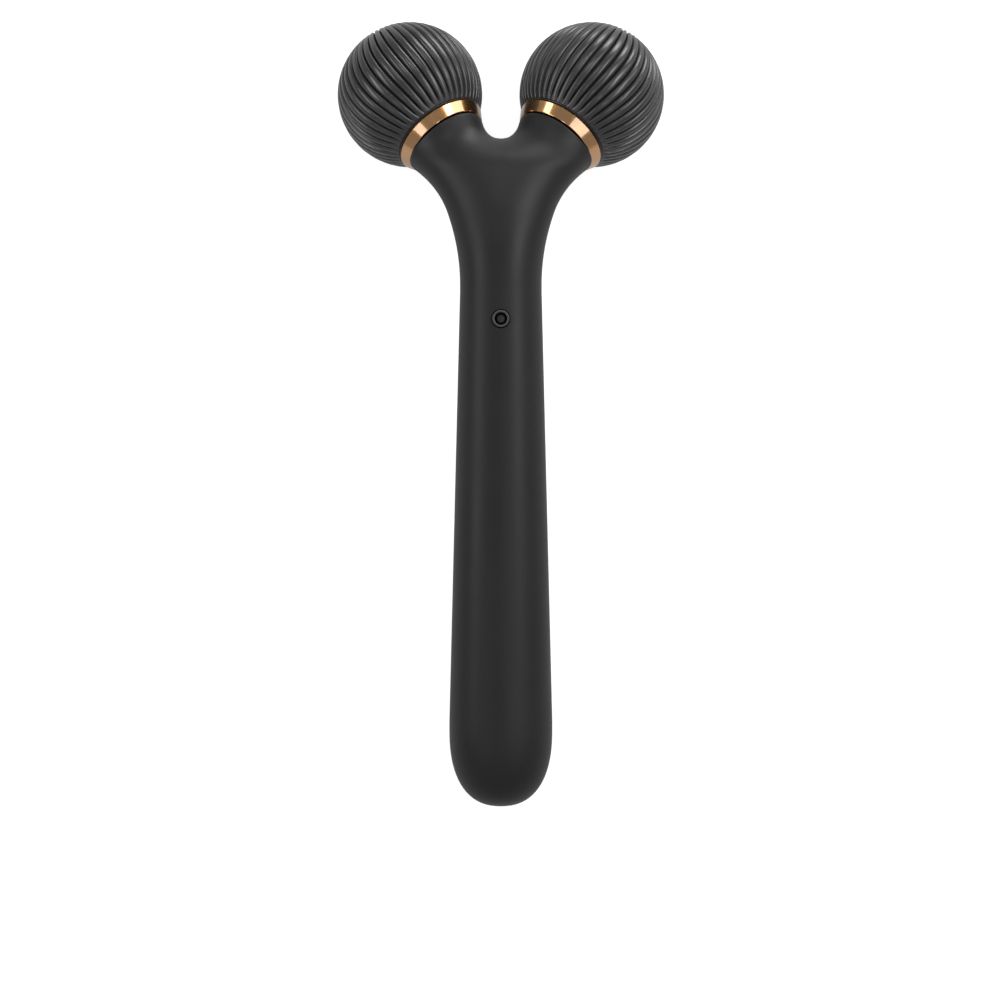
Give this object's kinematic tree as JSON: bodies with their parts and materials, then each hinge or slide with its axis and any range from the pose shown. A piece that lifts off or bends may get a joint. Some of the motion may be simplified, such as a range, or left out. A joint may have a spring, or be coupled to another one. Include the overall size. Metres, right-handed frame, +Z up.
{
  "type": "facial roller",
  "caption": "Facial roller: a slim Y-shaped handle with a push button, and ribbed balls that spin freely on angled axles at the ends of its arms.",
  "frame": {"origin": "centre of the bounding box on the surface that the roller lies on, at rest on both balls and the back of the tip", "axes": "+Z up, out of the front with the button (the handle rises 8.9 degrees towards the fork); +Y along the handle from the tip to the balls; +X to the right ball as seen from the front"},
  "size_m": [0.0668, 0.1598, 0.0321],
  "materials": {
    "soft_touch_black": "soft-touch matt",
    "ball_black": "satin",
    "rose_gold": "polished rose gold",
    "inner_plastic": "moulded",
    "steel": "turned",
    "bronze": "sintered",
    "lens": "frosted",
    "board_green": "solder mask",
    "chip_black": "moulded",
    "connector_white": "moulded",
    "cell_wrap": "shrink wrap",
    "foam": "foam",
    "rubber": "moulded",
    "lead_red": "smooth",
    "lead_black": "smooth",
    "contact_gold": "plated"
  },
  "bodies": {
    "handle": {"front_shell": "soft_touch_black", "rear_shell": "soft_touch_black", "trim_ring_left": "rose_gold", "trim_ring_right": "rose_gold", "axle_carrier_left": "inner_plastic", "axle_carrier_right": "inner_plastic", "axle_pin_left": "steel", "axle_pin_right": "steel", "thrust_washer_left": "steel", "thrust_washer_right": "steel", "retaining_clip_left": "steel", "retaining_clip_right": "steel", "board_screw_lower": "steel", "board_screw_upper": "steel", "motor_case": "steel", "charge_magnet_lower": "steel", "charge_magnet_upper": "steel", "status_led": "lens", "main_board": "board_green", "charge_board": "board_green", "tact_switch": "chip_black", "control_chip": "chip_black", "battery_connector": "connector_white", "motor_connector": "connector_white", "battery_cell": "cell_wrap", "battery_foam_pad": "foam", "motor_sleeve": "rubber", "battery_lead_red": "lead_red", "motor_lead_red": "lead_red", "charge_lead_red": "lead_red", "battery_lead_black": "lead_black", "motor_lead_black": "lead_black", "charge_lead_black": "lead_black", "charge_contact_lower": "contact_gold", "charge_contact_upper": "contact_gold"},
    "left_ball": {"ball_shell_left": "ball_black", "ball_hub_left": "inner_plastic", "inner_bush_left": "bronze", "outer_bush_left": "bronze"},
    "right_ball": {"ball_shell_right": "ball_black", "ball_hub_right": "inner_plastic", "inner_bush_right": "bronze", "outer_bush_right": "bronze"},
    "button": {"button_cap": "soft_touch_black", "button_light_pipe": "lens", "switch_plunger": "chip_black"},
    "motor_rotor": {"motor_shaft": "steel", "eccentric_weight": "bronze"}
  },
  "joints": [
    {"name": "left_ball_spin", "type": "hinge", "parent": "handle", "child": "left_ball", "pos_m": [-0.01863, 0.06505, 0.01483], "axis": [-0.5447, 0.7875, -0.2884], "continuous": true},
    {"name": "right_ball_spin", "type": "hinge", "parent": "handle", "child": "right_ball", "pos_m": [0.01863, 0.06505, 0.01483], "axis": [0.5447, 0.7875, -0.2884], "continuous": true},
    {"name": "button_press", "type": "slide", "parent": "handle", "child": "button", "axis": [0, 0.1547, -0.988], "range_m": [0, 0.0003], "stiffness_N_per_m": 1500, "springref_m": -0.0002},
    {"name": "motor_spin", "type": "hinge", "parent": "handle", "child": "motor_rotor", "pos_m": [0, 0.0383, 0.02511], "axis": [0, 0.988, 0.1547], "continuous": true}
  ]
}
